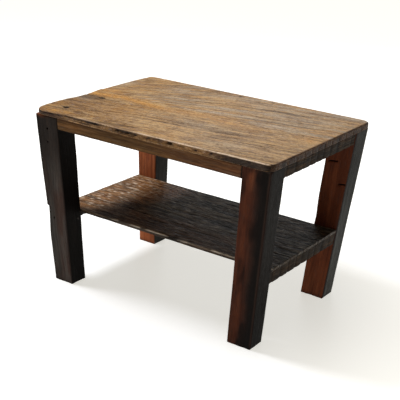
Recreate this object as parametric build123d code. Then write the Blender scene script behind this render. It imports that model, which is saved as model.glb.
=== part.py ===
"""Low rustic timber table with a lower shelf, modelled as separate pieces with their joints.

Millimetres, +Z up. The front is -Y. The origin is on the floor under the middle of the table.
The four legs lean: their outer faces come in towards the feet, so every rail between them is
cut on the same slopes.
"""
import os

from build123d import *

os.makedirs("parts", exist_ok=True)

# ---------------------------------------------------------------- overall sizes
HALF_LENGTH = 375.0  # outer leg faces, carried up to the top surface
HALF_WIDTH = 259.0
HEIGHT = 512.0  # top surface
TOP_THICKNESS = 17.0
TOP_UNDER = HEIGHT - TOP_THICKNESS

# ---------------------------------------------------------------- legs
RAKE_X = 45.0  # how far each foot comes in from the line of the top, along the length
RAKE_Y = 37.0  # and across the width
LEG_HEAD_X = 78.0
LEG_HEAD_Y = 71.0
LEG_FOOT_X = {-1: 60.0, 1: 70.0}  # the left pair were sawn from thinner posts
LEG_FOOT_Y = 58.0
LEG_ARRIS = 3.0
NEAR_ARRIS = 8.0
FOOT_CHAMFER = 2.0
HOUSING_TOP = 228.0  # old housing in the outer side of the front left leg, deepest at its top
HOUSING_LOW = 130.0
HOUSING_DEPTH = 9.0
NAIL_HOLES = ((40.0, 458.0), (36.0, 420.0), (25.0, 195.0))  # from the outer side, and height
NAIL_RADIUS = 2.2
NAIL_DEPTH = 11.0
IRON_SLITS = ((24.0, 405.0, 30.0), (62.0, 345.0, 26.0))  # from the inner side, height, length
SLIT_TILT = 6.0  # degrees

# ---------------------------------------------------------------- upper rails
RAIL_LOW = 462.0
RAIL_THICKNESS = 24.0
RAIL_SETBACK = 1.0
TENON_LENGTH = 34.0
TENON_THICKNESS = 12.0
TENON_LOW = 467.0
TENON_HIGH = 490.0
TENON_CHEEK = 8.0  # from the outer face of the rail to the tenon
PEG_Z_LONG = 473.0  # pegs through the tenons of the front and back rails
PEG_Z_END = 484.0  # pegs through the tenons of the end rails, clear of the others

# ---------------------------------------------------------------- lower shelf
SHELF_TOP = 215.0
SHELF_THICKNESS = 10.0
SHELF_UNDER = SHELF_TOP - SHELF_THICKNESS
SHELF_HALF_WIDTH = 173.3
SHELF_SEAM = -79.0
SHELF_RAIL_LOW = 171.0
SHELF_RAIL_THICKNESS = 26.0
SHELF_TENON_LENGTH = 30.0
SHELF_TENON_LOW = 177.0
SHELF_TENON_HIGH = 199.0
SHELF_PEG_Z = 188.0

# ---------------------------------------------------------------- table top
TOP_LEFT = -373.5
TOP_RIGHT = 375.0
TOP_FRONT = -259.0
TOP_SEAM = 11.0
TOP_BACK_LEFT = 254.0
TOP_BACK_RIGHT = 270.0
CORNER_FRONT_LEFT = 20.0
CORNER_FRONT_RIGHT = 14.0
CORNER_BACK_LEFT = 12.0
CORNER_BACK_RIGHT = 24.0
TOP_ARRIS = 3.0
LOWER_ARRIS = 1.0
BOLT_HOLE = (-310.0, -202.0)
KNOT_HOLE = (-309.0, -54.0)
KNOT_DEPTH = 7.0

# ---------------------------------------------------------------- fits and fixings
FIT = 0.15  # glue gap round tenons and tongues
GLUE_WELL = 2.0
PEG_RADIUS = 4.0
PEG_GAP = 0.05
TONGUE_GAP = 0.1
SCREW_HEAD_RADIUS = 4.0
SCREW_SHANK_RADIUS = 2.0
COUNTERBORE_RADIUS = 5.0
TOP_SCREW_HEAD = RAIL_LOW + 8.0  # height of the head faces of the screws into the top
TOP_SCREW_LENGTH = 37.0
TOP_SCREWS_ALONG = (-190.0, 0.0, 190.0)  # in the front and back rails
TOP_SCREWS_ACROSS = (-90.0, 90.0)  # in the end rails
SHELF_SCREW_HEAD = SHELF_RAIL_LOW + 9.0
SHELF_SCREW_LENGTH = 31.0
SHELF_SCREWS_ACROSS = (-152.0, -101.0, -40.0, 55.0, 145.0)


# ---------------------------------------------------------------- shared geometry
def outer_x(z):
    """Distance of the outer leg faces from the middle, along the length, at height z."""
    return HALF_LENGTH - RAKE_X * (1.0 - z / HEIGHT)


def outer_y(z):
    """Distance of the outer leg faces from the middle, across the width, at height z."""
    return HALF_WIDTH - RAKE_Y * (1.0 - z / HEIGHT)


def leg_x(side_x, z):
    """Size of a leg along the length at height z."""
    foot = LEG_FOOT_X[side_x]
    return foot + (LEG_HEAD_X - foot) * z / HEIGHT


def leg_y(z):
    """Size of a leg across the width at height z."""
    return LEG_FOOT_Y + (LEG_HEAD_Y - LEG_FOOT_Y) * z / HEIGHT


def inner_x(side_x, z):
    """Distance of the inner leg faces from the middle, along the length."""
    return outer_x(z) - leg_x(side_x, z)


def inner_y(z):
    """Distance of the inner leg faces from the middle, across the width."""
    return outer_y(z) - leg_y(z)


def block(x0, x1, y0, y1, z0, z1):
    """An upright box given by its six limits, in any order."""
    size = (abs(x1 - x0), abs(y1 - y0), abs(z1 - z0))
    middle = ((x0 + x1) / 2, (y0 + y1) / 2, (z0 + z1) / 2)
    return Pos(*middle) * Box(*size)


def sloped_block(z0, z1, limits):
    """A block whose plan, given by limits(z) as x0, x1, y0, y1, changes evenly with height."""
    plans = []
    for z in (z0, z1):
        x0, x1, y0, y1 = limits(z)
        plan = Rectangle(abs(x1 - x0), abs(y1 - y0))
        plans.append(Pos((x0 + x1) / 2, (y0 + y1) / 2, z) * plan)
    return loft(plans)


def rod(start, end, radius):
    """A plain round rod between two points."""
    axis = Vector(*end) - Vector(*start)
    plane = Plane(origin=start, z_dir=axis)
    return plane * Cylinder(radius, axis.length, align=(Align.CENTER, Align.CENTER, Align.MIN))


# ---------------------------------------------------------------- upper rail tenons
def long_rail_tenon(side_x, side_y, grow):
    """Tenon of the front or back rail in one leg; grow makes the mortise that takes it."""
    middle = (TENON_LOW + TENON_HIGH) / 2
    shoulder = inner_x(side_x, middle)
    cheek = outer_y(middle) - RAIL_SETBACK - TENON_CHEEK
    tip = shoulder + TENON_LENGTH + (GLUE_WELL if grow else 0.0)
    x0, x1 = side_x * (shoulder - 4.0), side_x * tip
    y0, y1 = side_y * (cheek + grow), side_y * (cheek - TENON_THICKNESS - grow)
    return block(x0, x1, y0, y1, TENON_LOW - grow, TENON_HIGH + grow)


def end_rail_tenon(side_x, side_y, grow):
    """Tenon of an end rail in one leg; grow makes the mortise that takes it."""
    middle = (TENON_LOW + TENON_HIGH) / 2
    shoulder = inner_y(middle)
    cheek = outer_x(middle) - RAIL_SETBACK - TENON_CHEEK
    tip = shoulder + TENON_LENGTH + (GLUE_WELL if grow else 0.0)
    x0, x1 = side_x * (cheek + grow), side_x * (cheek - TENON_THICKNESS - grow)
    y0, y1 = side_y * (shoulder - 4.0), side_y * tip
    return block(x0, x1, y0, y1, TENON_LOW - grow, TENON_HIGH + grow)


def shelf_rail_tenon(side_x, side_y, grow):
    """Tenon of a shelf rail in one leg; grow makes the mortise that takes it."""
    middle = (SHELF_TENON_LOW + SHELF_TENON_HIGH) / 2
    shoulder = inner_y(middle)
    cheek = outer_x(middle) - RAIL_SETBACK - TENON_CHEEK
    tip = shoulder + SHELF_TENON_LENGTH + (GLUE_WELL if grow else 0.0)
    x0, x1 = side_x * (cheek + grow), side_x * (cheek - TENON_THICKNESS - grow)
    y0, y1 = side_y * (shoulder - 4.0), side_y * tip
    return block(x0, x1, y0, y1, SHELF_TENON_LOW - grow, SHELF_TENON_HIGH + grow)


# ---------------------------------------------------------------- pegs
def long_rail_peg(side_x, side_y, radius):
    """Peg driven from the inner face of a leg through the tenon of a front or back rail."""
    x = side_x * (inner_x(side_x, PEG_Z_LONG) + TENON_LENGTH / 2)
    start = (x, side_y * (inner_y(PEG_Z_LONG) + 0.5), PEG_Z_LONG)
    end = (x, side_y * (outer_y(PEG_Z_LONG) - 6.0), PEG_Z_LONG)
    return rod(start, end, radius)


def end_rail_peg(side_x, side_y, radius):
    """Peg driven from the inner face of a leg through the tenon of an end rail."""
    y = side_y * (inner_y(PEG_Z_END) + TENON_LENGTH / 2)
    start = (side_x * (inner_x(side_x, PEG_Z_END) + 0.5), y, PEG_Z_END)
    end = (side_x * (outer_x(PEG_Z_END) - 6.0), y, PEG_Z_END)
    return rod(start, end, radius)


def shelf_rail_peg(side_x, side_y, radius):
    """Peg driven from the inner face of a leg through the tenon of a shelf rail."""
    y = side_y * (inner_y(SHELF_PEG_Z) + SHELF_TENON_LENGTH / 2)
    start = (side_x * (inner_x(side_x, SHELF_PEG_Z) + 0.5), y, SHELF_PEG_Z)
    end = (side_x * (outer_x(SHELF_PEG_Z) - 6.0), y, SHELF_PEG_Z)
    return rod(start, end, radius)


def peg_bore(peg, side_x, side_y):
    """The hole for a peg: a little wider, and open at the inner face of the leg."""
    radius = PEG_RADIUS + PEG_GAP
    hole = peg(side_x, side_y, radius)
    if peg is long_rail_peg:
        return hole + Pos(0, -1.5 * side_y, 0) * hole
    return hole + Pos(-1.5 * side_x, 0, 0) * hole


# ---------------------------------------------------------------- screws
def screw(x, y, z, length):
    """Countersunk wood screw standing head down, its head face at z and its point up."""
    r = SCREW_SHANK_RADIUS
    points = [(0, 0), (SCREW_HEAD_RADIUS, 0), (SCREW_HEAD_RADIUS, 0.6), (r * 0.8, 3.0)]
    points.append((r * 0.8, length * 0.35))
    pitch = 1.6
    height = length * 0.35 + 0.4
    while height + pitch < length - 4.0:
        points.append((r, height))
        points.append((r * 0.7, height + pitch / 2))
        height += pitch
    points.append((r, height))
    points.append((0, length))
    body = revolve(Plane.XZ * make_face(Polyline(*points, close=True)), Axis.Z)
    body -= Box(4.4, 1.1, 4.0)
    body -= Box(1.1, 4.4, 4.0)
    return Pos(x, y, z) * body


def screw_bore(x, y, z_entry, z_head, length):
    """Counterbore from z_entry up to the head, then the hole for the rest of the screw."""
    wide = rod((x, y, z_entry - 1.0), (x, y, z_head + 3.2), COUNTERBORE_RADIUS)
    narrow = rod((x, y, z_entry), (x, y, z_head + length + 0.5), SCREW_SHANK_RADIUS + 0.05)
    return wide + narrow


def top_screw_places():
    """Plan positions of the screws that pull the top down on to the upper rails."""
    z = TOP_SCREW_HEAD
    y = outer_y(z) - RAIL_SETBACK - RAIL_THICKNESS / 2
    x = outer_x(z) - RAIL_SETBACK - RAIL_THICKNESS / 2
    places = []
    for side in (-1, 1):
        for along in TOP_SCREWS_ALONG:
            places.append((along, side * y))
        for across in TOP_SCREWS_ACROSS:
            places.append((side * x, across))
    return places


def shelf_screw_places():
    """Plan positions of the screws that hold the shelf boards on the shelf rails."""
    z = SHELF_SCREW_HEAD
    x = outer_x(z) - RAIL_SETBACK - SHELF_RAIL_THICKNESS / 2
    places = []
    for side in (-1, 1):
        for across in SHELF_SCREWS_ACROSS:
            places.append((side * x, across))
    return places


# ---------------------------------------------------------------- legs
def leg(side_x, side_y):
    """One leaning, tapering post with its mortises and peg holes."""

    def limits(z):
        x_out, x_in = side_x * outer_x(z), side_x * inner_x(side_x, z)
        y_out, y_in = side_y * outer_y(z), side_y * inner_y(z)
        return x_out, x_in, y_out, y_in

    body = sloped_block(0.0, TOP_UNDER, limits)
    edges = body.edges().filter_by(lambda e: abs(e.tangent_at(0.5).Z) > 0.8)
    if (side_x, side_y) == (1, -1):
        near = edges.sort_by(lambda e: e.center().X - e.center().Y)[-1:]
        rest = edges.sort_by(lambda e: e.center().X - e.center().Y)[:-1]
        body = fillet(near, NEAR_ARRIS)
        corners = [e.center() for e in rest]
        edges = [e for e in body.edges() if any((e.center() - c).length < 0.5 for c in corners)]
    body = fillet(edges, LEG_ARRIS)
    foot = body.faces().sort_by(Axis.Z)[0]
    body = chamfer(foot.edges(), FOOT_CHAMFER)
    body -= long_rail_tenon(side_x, side_y, FIT)
    body -= end_rail_tenon(side_x, side_y, FIT)
    body -= shelf_rail_tenon(side_x, side_y, FIT)
    body -= peg_bore(long_rail_peg, side_x, side_y)
    body -= peg_bore(end_rail_peg, side_x, side_y)
    body -= peg_bore(shelf_rail_peg, side_x, side_y)
    return body


def front_left_leg():
    """The front left post, with an old housing cut in its outer side and three nail holes."""
    body = leg(-1, -1)
    top_face, low_face = -outer_x(HOUSING_TOP), -outer_x(HOUSING_LOW)
    outer = [(top_face + HOUSING_DEPTH, HOUSING_TOP), (low_face, HOUSING_LOW)]
    outer += [(low_face - 20.0, HOUSING_LOW), (top_face - 20.0, HOUSING_TOP)]
    wedge = Plane.XZ * make_face(Polyline(*outer, close=True))
    body -= extrude(wedge, 400.0, both=True)
    for across, z in NAIL_HOLES:
        x = -outer_x(z) + across
        body -= rod((x, -outer_y(z) - 2.0, z), (x, -outer_y(z) + NAIL_DEPTH, z), NAIL_RADIUS)
    x, y = BOLT_HOLE
    body -= rod((x, y, TOP_UNDER - 30.0), (x, y, TOP_UNDER + 1.0), 4.5)
    return body


def back_right_leg():
    """The back right post, with two shallow slits where old iron was let into its front."""
    body = leg(1, 1)
    for across, z, long in IRON_SLITS:
        x = outer_x(z) - leg_x(1, z) + across
        y = inner_y(z)
        slit = Box(long, 10.0, 2.4)
        body -= Pos(x, y, z) * Rot(0, -SLIT_TILT, 0) * slit
    return body


# ---------------------------------------------------------------- upper rails
def long_rail(side_y):
    """Front or back rail, tenoned into two legs and bored for pegs and top screws."""

    def limits(z):
        y_out = outer_y(z) - RAIL_SETBACK
        y_in = y_out - RAIL_THICKNESS
        return -inner_x(-1, z), inner_x(1, z), side_y * y_out, side_y * y_in

    body = sloped_block(RAIL_LOW, TOP_UNDER, limits)
    for side_x in (-1, 1):
        body += long_rail_tenon(side_x, side_y, 0.0)
        body -= long_rail_peg(side_x, side_y, PEG_RADIUS + PEG_GAP)
    for x, y in top_screw_places():
        if y * side_y > max(TOP_SCREWS_ACROSS):
            body -= screw_bore(x, y, RAIL_LOW, TOP_SCREW_HEAD, TOP_SCREW_LENGTH)
    return body


def end_rail(side_x):
    """Left or right rail under the top, tenoned into a front and a back leg."""

    def limits(z):
        x_out = outer_x(z) - RAIL_SETBACK
        x_in = x_out - RAIL_THICKNESS
        return side_x * x_out, side_x * x_in, -inner_y(z), inner_y(z)

    body = sloped_block(RAIL_LOW, TOP_UNDER, limits)
    for side_y in (-1, 1):
        body += end_rail_tenon(side_x, side_y, 0.0)
        body -= end_rail_peg(side_x, side_y, PEG_RADIUS + PEG_GAP)
    for x, y in top_screw_places():
        if x * side_x > max(TOP_SCREWS_ALONG):
            body -= screw_bore(x, y, RAIL_LOW, TOP_SCREW_HEAD, TOP_SCREW_LENGTH)
    return body


# ---------------------------------------------------------------- lower shelf
def shelf_rail(side_x):
    """Rail under one end of the shelf, tenoned into a front and a back leg."""

    def limits(z):
        x_out = outer_x(z) - RAIL_SETBACK
        x_in = x_out - SHELF_RAIL_THICKNESS
        return side_x * x_out, side_x * x_in, -inner_y(z), inner_y(z)

    body = sloped_block(SHELF_RAIL_LOW, SHELF_UNDER, limits)
    for side_y in (-1, 1):
        body += shelf_rail_tenon(side_x, side_y, 0.0)
        body -= shelf_rail_peg(side_x, side_y, PEG_RADIUS + PEG_GAP)
    for x, y in shelf_screw_places():
        if x * side_x > 0.0:
            body -= screw_bore(x, y, SHELF_RAIL_LOW, SHELF_SCREW_HEAD, SHELF_SCREW_LENGTH)
    return body


def shelf_tongue(gap):
    """Loose tongue along the joint between the two shelf boards."""
    half = 322.0 + gap * 2
    deep = 8.0 + gap * 2
    thick = 1.6 + gap
    middle = (SHELF_TOP + SHELF_UNDER) / 2
    seam = SHELF_SEAM
    return block(-half, half, seam - deep, seam + deep, middle - thick, middle + thick)


def shelf_board(y0, y1):
    """One board of the lower shelf, its ends cut on the slope of the leg faces."""

    def limits(z):
        return -outer_x(z), outer_x(z), y0, y1

    body = sloped_block(SHELF_UNDER, SHELF_TOP, limits)
    long_edges = body.faces().sort_by(Axis.Z)[-1].edges()
    body = fillet(long_edges, 1.5)
    body -= shelf_tongue(TONGUE_GAP)
    for x, y in shelf_screw_places():
        if y0 < y < y1:
            body -= screw_bore(x, y, SHELF_RAIL_LOW, SHELF_SCREW_HEAD, SHELF_SCREW_LENGTH)
    return body


# ---------------------------------------------------------------- table top
def top_outline():
    """Plan of the whole top: slightly wider at the right, each corner worn round."""
    corners = [(TOP_LEFT, TOP_FRONT), (TOP_RIGHT, TOP_FRONT)]
    corners += [(TOP_RIGHT, TOP_BACK_RIGHT), (TOP_LEFT, TOP_BACK_LEFT)]
    radii = (CORNER_FRONT_LEFT, CORNER_FRONT_RIGHT, CORNER_BACK_RIGHT, CORNER_BACK_LEFT)
    plan = make_face(Polyline(*corners, close=True))
    for (x, y), radius in zip(corners, radii):
        vertex = plan.vertices().sort_by(lambda v: (v.X - x) ** 2 + (v.Y - y) ** 2)[0]
        plan = fillet(vertex, radius)
    return plan


def top_slab():
    """The whole top as one slab, rounded along its upper and lower arrises."""
    slab = Pos(0, 0, TOP_UNDER) * extrude(top_outline(), TOP_THICKNESS)
    slab = fillet(slab.faces().sort_by(Axis.Z)[-1].edges(), TOP_ARRIS)
    return fillet(slab.faces().sort_by(Axis.Z)[0].edges(), LOWER_ARRIS)


def top_tongue(gap):
    """Loose tongue along the joint between the two top boards."""
    half = 330.0 + gap * 2
    deep = 10.0 + gap * 2
    thick = 2.5 + gap
    middle = (HEIGHT + TOP_UNDER) / 2
    seam = TOP_SEAM
    return block(-half, half, seam - deep, seam + deep, middle - thick, middle + thick)


def top_board(front):
    """Front or back board of the top, grooved for the tongue and bored for the screws."""
    slab = top_slab()
    if front:
        body = slab & block(-500, 500, -400, TOP_SEAM, 400, 600)
    else:
        body = slab & block(-500, 500, TOP_SEAM, 400, 400, 600)
    body -= top_tongue(TONGUE_GAP)
    for x, y in top_screw_places():
        if (y < TOP_SEAM) == front:
            body -= screw_bore(x, y, RAIL_LOW, TOP_SCREW_HEAD, TOP_SCREW_LENGTH)
    if front:
        x, y = BOLT_HOLE
        body -= Pos(x, y, HEIGHT) * extrude(SlotOverall(13.0, 9.0), 30.0, both=True)
        x, y = KNOT_HOLE
        body -= Pos(x, y, HEIGHT - KNOT_DEPTH) * extrude(SlotOverall(16.0, 8.0), 20.0)
    return body


# ---------------------------------------------------------------- build and export
CORNERS = [(side_x, side_y) for side_x in (-1, 1) for side_y in (-1, 1)]

# A node is one piece, or a list of identical fixings kept as separate solids.
parts = {}
parts["leg_front_left"] = front_left_leg()
parts["leg_front_right"] = leg(1, -1)
parts["leg_back_left"] = leg(-1, 1)
parts["leg_back_right"] = back_right_leg()
parts["front_rail"] = long_rail(-1)
parts["back_rail"] = long_rail(1)
parts["left_end_rail"] = end_rail(-1)
parts["right_end_rail"] = end_rail(1)
parts["top_board_front"] = top_board(True)
parts["top_board_back"] = top_board(False)
parts["top_tongue"] = top_tongue(0.0)
parts["shelf_rail_left"] = shelf_rail(-1)
parts["shelf_rail_right"] = shelf_rail(1)
parts["shelf_board_front"] = shelf_board(-SHELF_HALF_WIDTH, SHELF_SEAM)
parts["shelf_board_back"] = shelf_board(SHELF_SEAM, SHELF_HALF_WIDTH)
parts["shelf_tongue"] = shelf_tongue(0.0)
parts["long_rail_pegs"] = [long_rail_peg(*corner, PEG_RADIUS) for corner in CORNERS]
parts["end_rail_pegs"] = [end_rail_peg(*corner, PEG_RADIUS) for corner in CORNERS]
parts["shelf_rail_pegs"] = [shelf_rail_peg(*corner, PEG_RADIUS) for corner in CORNERS]
parts["top_screws"] = [
    screw(x, y, TOP_SCREW_HEAD, TOP_SCREW_LENGTH) for x, y in top_screw_places()
]
parts["shelf_screws"] = [
    screw(x, y, SHELF_SCREW_HEAD, SHELF_SCREW_LENGTH) for x, y in shelf_screw_places()
]

# The top is wider than the legs at the back, so the whole table is moved to stand with the
# middle of its bounding box over the origin.
boxes = [shape.bounding_box() for shape in parts.values() if not isinstance(shape, list)]
middle_x = (min(box.min.X for box in boxes) + max(box.max.X for box in boxes)) / 2
middle_y = (min(box.min.Y for box in boxes) + max(box.max.Y for box in boxes)) / 2
shift = Pos(-middle_x, -middle_y, 0)

for name, shape in parts.items():
    if isinstance(shape, list):
        placed = Compound(children=[shift * piece for piece in shape])
    else:
        placed = shift * shape
    export_step(placed, f"parts/{name}.step")
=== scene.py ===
"""Looks for a low rustic table of old timber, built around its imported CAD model.

Blender works in metres. The timber surfaces are worked out in millimetres, in the same frame:
+X runs to the right end, the front is -Y, +Z is up, and z = 0 is the floor. On a board u runs
along it, v across it and w up; on a post a runs along the table, b across it and z up.
Noise, rough and spot take a seed, a whole number that picks their pattern.
"""
import math

import bpy
import numpy as np
from mathutils import Euler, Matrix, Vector


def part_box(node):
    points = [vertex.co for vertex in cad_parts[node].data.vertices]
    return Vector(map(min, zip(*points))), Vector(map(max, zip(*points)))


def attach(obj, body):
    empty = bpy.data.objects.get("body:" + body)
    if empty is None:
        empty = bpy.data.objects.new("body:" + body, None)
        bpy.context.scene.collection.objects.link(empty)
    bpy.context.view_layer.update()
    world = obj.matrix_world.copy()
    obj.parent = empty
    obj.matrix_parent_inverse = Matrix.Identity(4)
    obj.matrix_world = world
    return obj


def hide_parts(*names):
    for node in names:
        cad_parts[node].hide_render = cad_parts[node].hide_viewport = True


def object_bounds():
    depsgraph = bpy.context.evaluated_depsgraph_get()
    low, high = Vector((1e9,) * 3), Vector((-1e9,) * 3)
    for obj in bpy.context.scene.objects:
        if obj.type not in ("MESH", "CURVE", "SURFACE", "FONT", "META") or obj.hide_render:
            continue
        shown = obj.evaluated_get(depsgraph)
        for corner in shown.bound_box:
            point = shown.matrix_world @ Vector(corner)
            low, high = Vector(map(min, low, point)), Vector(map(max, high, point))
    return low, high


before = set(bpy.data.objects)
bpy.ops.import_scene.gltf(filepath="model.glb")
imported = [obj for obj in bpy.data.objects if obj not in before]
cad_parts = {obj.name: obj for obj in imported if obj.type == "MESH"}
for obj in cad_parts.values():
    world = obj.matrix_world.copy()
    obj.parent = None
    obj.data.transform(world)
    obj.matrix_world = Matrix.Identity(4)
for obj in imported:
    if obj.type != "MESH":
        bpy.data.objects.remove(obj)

CAD_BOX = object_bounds()
MM = 0.001


def add_object(name, data):
    made = bpy.data.objects.new(name, data)
    bpy.context.scene.collection.objects.link(made)
    return made


# ---- the camera
CAMERA_AT = (1.4460, -2.1425, 1.2232)
CAMERA_AZIMUTH = 33.98  # degrees round from the front, towards the right end
CAMERA_ELEVATION = 20.39
CAMERA_ROLL = 2.82
FOCAL_PER_WIDTH = 2.459  # focal length over picture width


def make_camera():
    data = bpy.data.cameras.new("camera")
    data.sensor_width = 36.0
    data.lens = data.sensor_width * FOCAL_PER_WIDTH
    camera = add_object("camera", data)
    turn = Euler((math.radians(90.0 - CAMERA_ELEVATION), 0.0, math.radians(CAMERA_AZIMUTH)))
    roll = Euler((0.0, 0.0, math.radians(CAMERA_ROLL)))
    camera.rotation_mode = "QUATERNION"
    camera.rotation_quaternion = turn.to_quaternion() @ roll.to_quaternion()
    camera.location = CAMERA_AT
    bpy.context.scene.camera = camera


# ---- the studio
FLOOR_HALF = 14.0
FLOOR_COLOUR = (0.52, 0.54, 0.60, 1)
FLOOR_ROUGHNESS = 0.42
FLOOR_SPECULAR = 0.3
# painted light: the floor glows though it is no lamp, warm and weakest near the table, so the shade
# under the table and the white floor beyond are painted in
FLOOR_PAINTED_GLOW_COLOUR = (1.0, 0.975, 0.90, 1)
FLOOR_PAINTED_GLOW_AT = (0.28, 0.80)  # distances between which the floor's painted glow grows, dim near the table and white away from it
FLOOR_PAINTED_GLOW = (0.63, 0.95)
ROOM_LIGHT = ((1.0, 0.99, 0.97, 1), 0.10)  # colour and strength of the light from all round
BACKDROP = ((0.98, 0.98, 0.98, 1), 1.0)  # what the camera sees past the floor
# name, place, aim, width, watts, colour
LIGHTS = (
    ("key", (-1.68, -0.60, 3.1), (0, 0, 0.4), 0.9, 100, (1.0, 0.985, 0.96)),
    ("window", (-1.5, 3.0, 1.6), (0, 0, 0.5), 1.8, 9, (0.97, 0.985, 1.0)),
    ("fill", (0.4, -3.6, 2.2), (0, 0, 0.3), 2.4, 7, (1.0, 0.97, 0.94)),
)


def area_light(name, at, aim, size, watts, colour):
    data = bpy.data.lights.new(name, "AREA")
    data.shape = "DISK"
    data.size = size
    data.energy = watts
    data.color = colour
    light = add_object(name, data)
    light.location = at
    light.rotation_mode = "QUATERNION"
    light.rotation_quaternion = (Vector(aim) - Vector(at)).to_track_quat("-Z", "Y")


def make_floor():
    mesh = bpy.data.meshes.new("floor")
    h = FLOOR_HALF
    mesh.from_pydata([(-h, -h, 0), (h, -h, 0), (h, h, 0), (-h, h, 0)], [], [(0, 1, 2, 3)])
    floor = add_object("floor", mesh)
    material = bpy.data.materials.new("pale_floor")
    nodes = Nodes(material)
    nodes.set("Base Color", FLOOR_COLOUR)
    nodes.set("Roughness", FLOOR_ROUGHNESS)
    nodes.set("Specular IOR Level", FLOOR_SPECULAR)
    nodes.set("Emission Color", FLOOR_PAINTED_GLOW_COLOUR)
    # painted light: the floor's glow grows with distance from the middle of the table
    where = nodes.new("NewGeometry")
    away = nodes.new("VectorMath")
    away.operation = "LENGTH"
    nodes.link(where.outputs["Position"], away.inputs[0])
    painted_glow = nodes.range(away.outputs["Value"], *FLOOR_PAINTED_GLOW_AT, *FLOOR_PAINTED_GLOW)
    nodes.link(painted_glow, nodes.shader.inputs["Emission Strength"])
    mesh.materials.append(material)


def background(tree, colour, strength):
    node = tree.nodes.new("ShaderNodeBackground")
    node.inputs["Color"].default_value = colour
    node.inputs["Strength"].default_value = strength
    return node


def make_world():
    world = bpy.data.worlds.new("studio")
    bpy.context.scene.world = world
    world.use_nodes = True
    tree = world.node_tree
    tree.nodes.clear()
    out = tree.nodes.new("ShaderNodeOutputWorld")
    lit = background(tree, *ROOM_LIGHT)
    seen = background(tree, *BACKDROP)
    path = tree.nodes.new("ShaderNodeLightPath")
    either = tree.nodes.new("ShaderNodeMixShader")
    tree.links.new(path.outputs["Is Camera Ray"], either.inputs[0])
    tree.links.new(lit.outputs[0], either.inputs[1])
    tree.links.new(seen.outputs[0], either.inputs[2])
    tree.links.new(either.outputs[0], out.inputs["Surface"])


def make_studio():
    make_floor()
    make_world()
    for light in LIGHTS:
        area_light(*light)
    bpy.context.scene.view_settings.view_transform = "Standard"
    bpy.context.scene.view_settings.look = "None"


# ---- repeatable noise
def scatter(ix, iy, seed):
    """A repeatable value in 0..1 for each whole-number point."""
    n = ix.astype(np.int64) * 374761393 + iy.astype(np.int64) * 668265263 + seed * 974711
    n = ((n & 0x7FFFFFFF) ^ ((n & 0x7FFFFFFF) >> 13)) * 1274126177
    n = (n & 0x7FFFFFFF) ^ ((n & 0x7FFFFFFF) >> 16)
    return (n & 0xFFFF) / 65535.0


def noise(x, y, seed):
    """Smooth noise in -1..1, with features about one unit across."""
    x, y = np.broadcast_arrays(np.asarray(x, float), np.asarray(y, float))
    ix, iy = np.floor(x), np.floor(y)
    fx, fy = x - ix, y - iy
    fx, fy = fx * fx * (3 - 2 * fx), fy * fy * (3 - 2 * fy)
    low = scatter(ix, iy, seed) * (1 - fx) + scatter(ix + 1, iy, seed) * fx
    high = scatter(ix, iy + 1, seed) * (1 - fx) + scatter(ix + 1, iy + 1, seed) * fx
    return 2 * (low * (1 - fy) + high * fy) - 1


def rough(x, y, seed, octaves=3):
    """Several sizes of noise added together, still in about -1..1."""
    total, whole = 0.0, 0.0
    for octave in range(octaves):
        size = 2.0**octave
        total = total + noise(x * size, y * size, seed + octave) / size
        whole += 1.0 / size
    return total / whole


def ramp(value, low, high):
    """Smooth step from 0 at low to 1 at high; low may be the larger."""
    t = np.clip((value - low) / (high - low), 0.0, 1.0)
    return t * t * (3 - 2 * t)


def spot(x, y, at, radii, seed, ragged=0.5):
    """A soft round patch, 1 at its middle, with a ragged outline."""
    away = ((x - at[0]) / radii[0]) ** 2 + ((y - at[1]) / radii[1]) ** 2
    away = away * (1 + ragged * rough(x / radii[0] * 1.7, y / radii[1] * 1.7, seed + 5))
    return np.exp(-np.clip(away, 0, 40))


# ---- timber surfaces
def grid_lines(length, step, arris, extra):
    """Where a side of a timber is divided: evenly, and more closely at its rounded ends."""
    near = arris * np.array([0.0, 0.12, 0.3, 0.55, 0.8, 1.0])
    count = max(2, round((length - 2 * arris) / step))
    even = np.linspace(arris, length - arris, count + 1)
    lines = np.sort(np.concatenate([near, even, length - near, np.array(extra, float)]))
    keep = np.concatenate([[True], np.diff(lines) > 0.05])
    return lines[keep]


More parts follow.
